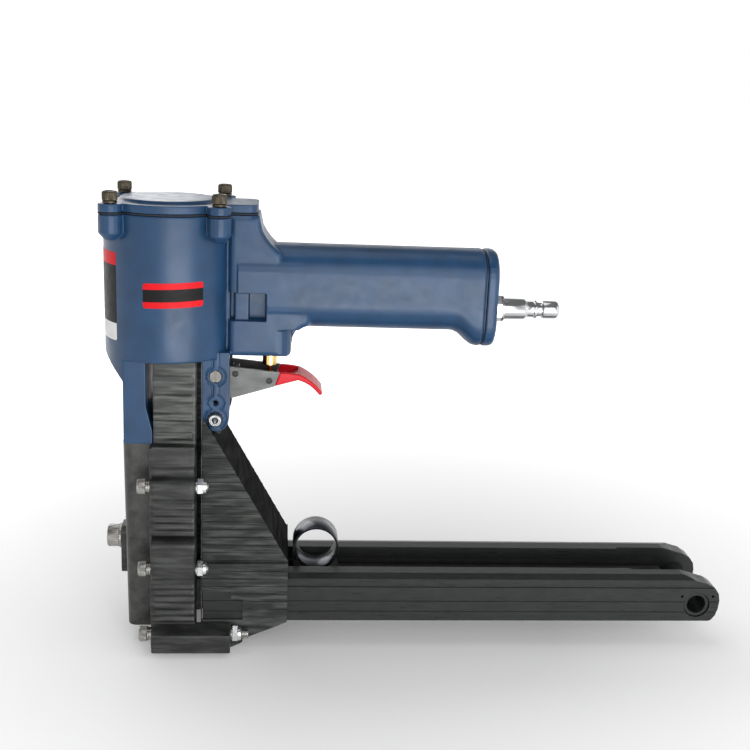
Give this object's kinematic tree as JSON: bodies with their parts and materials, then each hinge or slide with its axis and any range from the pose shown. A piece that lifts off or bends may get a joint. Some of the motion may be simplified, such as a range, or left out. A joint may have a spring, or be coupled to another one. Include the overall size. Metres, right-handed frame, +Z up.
{
  "type": "carton closing stapler",
  "caption": "Pneumatic carton closing stapler: cast grip housing over a clinching nose, with a long open staple magazine and sprung pusher.",
  "frame": {"origin": "middle of the bounding box at the height of the nose sole", "axes": "+X from the nose to the rear end of the magazine, +Z up along the driver's axis, +Y to the left side"},
  "size_m": [0.414, 0.097, 0.2971],
  "materials": {
    "blue_paint": "satin blue paint on a casting",
    "black_casting": "semi-gloss black coating on a ribbed casting",
    "black_rail": "black anodised extrusion",
    "plain_steel": "dull steel",
    "bright_plating": "bright zinc or chrome plating",
    "spring_steel": "polished strip",
    "aluminium": "machined",
    "brass": "machined",
    "rubber": "matt",
    "red_dip": "glossy dipped coating"
  },
  "bodies": {
    "frame": {"housing": "blue_paint", "cylinder_cap": "blue_paint", "handle_end_cap": "blue_paint", "cap_gasket": "rubber", "handle_gasket": "rubber", "piston_bumper": "rubber", "cap_screw_front_left": "plain_steel", "cap_screw_front_right": "plain_steel", "cap_screw_rear_left": "plain_steel", "cap_screw_rear_right": "plain_steel", "air_plug": "bright_plating", "cylinder_sleeve": "aluminium", "trigger_valve": "brass", "trigger_pivot_pin": "plain_steel", "front_plate": "black_casting", "magazine_bracket": "black_casting", "bracket_bolt": "bright_plating", "bracket_washer": "plain_steel", "bracket_nut": "bright_plating", "staple_core": "plain_steel", "rear_spacer": "black_rail", "side_casting_left": "black_casting", "side_casting_right": "black_casting", "clincher_pin_left": "plain_steel", "clincher_pin_right": "plain_steel", "rail_left": "black_rail", "rail_right": "black_rail", "nose_bolt_upper_left": "plain_steel", "nose_bolt_upper_right": "plain_steel", "nose_bolt_middle_left": "plain_steel", "nose_bolt_middle_right": "plain_steel", "nose_bolt_lower_left": "plain_steel", "nose_bolt_lower_right": "plain_steel", "nose_nut_upper_left": "bright_plating", "nose_nut_upper_right": "bright_plating", "nose_nut_middle_left": "bright_plating", "nose_nut_middle_right": "bright_plating", "nose_nut_lower_left": "bright_plating", "nose_nut_lower_right": "bright_plating"},
    "driver": {"piston": "aluminium", "piston_o_ring": "rubber", "driver_blade": "plain_steel"},
    "left_clincher": {"clincher_left": "plain_steel"},
    "right_clincher": {"clincher_right": "plain_steel"},
    "trigger": {"trigger_lever": "black_casting", "finger_rest": "red_dip", "trigger_pin_front": "black_casting", "trigger_pin_rear": "black_casting"},
    "stem": {"valve_stem": "brass"},
    "pusher": {"pusher": "black_casting", "roll_spring": "spring_steel"},
    "depth_stop": {"depth_stop_plate": "black_casting", "depth_stop_washer": "plain_steel", "depth_stop_bolt": "plain_steel", "depth_stop_nut": "plain_steel"}
  },
  "joints": [
    {"name": "driver_slide", "type": "slide", "parent": "frame", "child": "driver", "axis": [0, 0, -1], "range_m": [0, 0.036]},
    {"name": "left_clincher_pivot", "type": "hinge", "parent": "frame", "child": "left_clincher", "pos_m": [-0.171, 0.007, 0.042], "axis": [-1, 0, 0], "range_deg": [0, 20]},
    {"name": "right_clincher_pivot", "type": "hinge", "parent": "frame", "child": "right_clincher", "pos_m": [-0.171, -0.007, 0.042], "axis": [1, 0, 0], "range_deg": [0, 20]},
    {"name": "trigger_pivot", "type": "hinge", "parent": "frame", "child": "trigger", "pos_m": [-0.13515, 0, 0.1824], "axis": [0, -1, 0], "range_deg": [0, 4], "stiffness_Nm_per_rad": 2, "springref_deg": -17.19},
    {"name": "stem_slide", "type": "slide", "parent": "frame", "child": "stem", "axis": [0, 0, 1], "range_m": [0, 0.0024]},
    {"name": "pusher_slide", "type": "slide", "parent": "frame", "child": "pusher", "axis": [1, 0, 0], "range_m": [0, 0.215], "stiffness_N_per_m": 20, "springref_m": -0.3},
    {"name": "depth_stop_slide", "type": "slide", "parent": "frame", "child": "depth_stop", "axis": [0, 0, 1], "range_m": [-0.008, 0.008]}
  ],
  "couplings": [
    {"joint": "left_clincher_pivot", "follows": "driver_slide", "rad_per_m": 9.69},
    {"joint": "right_clincher_pivot", "follows": "driver_slide", "rad_per_m": 9.69},
    {"joint": "stem_slide", "follows": "trigger_pivot", "m_per_rad": 0.03345}
  ]
}
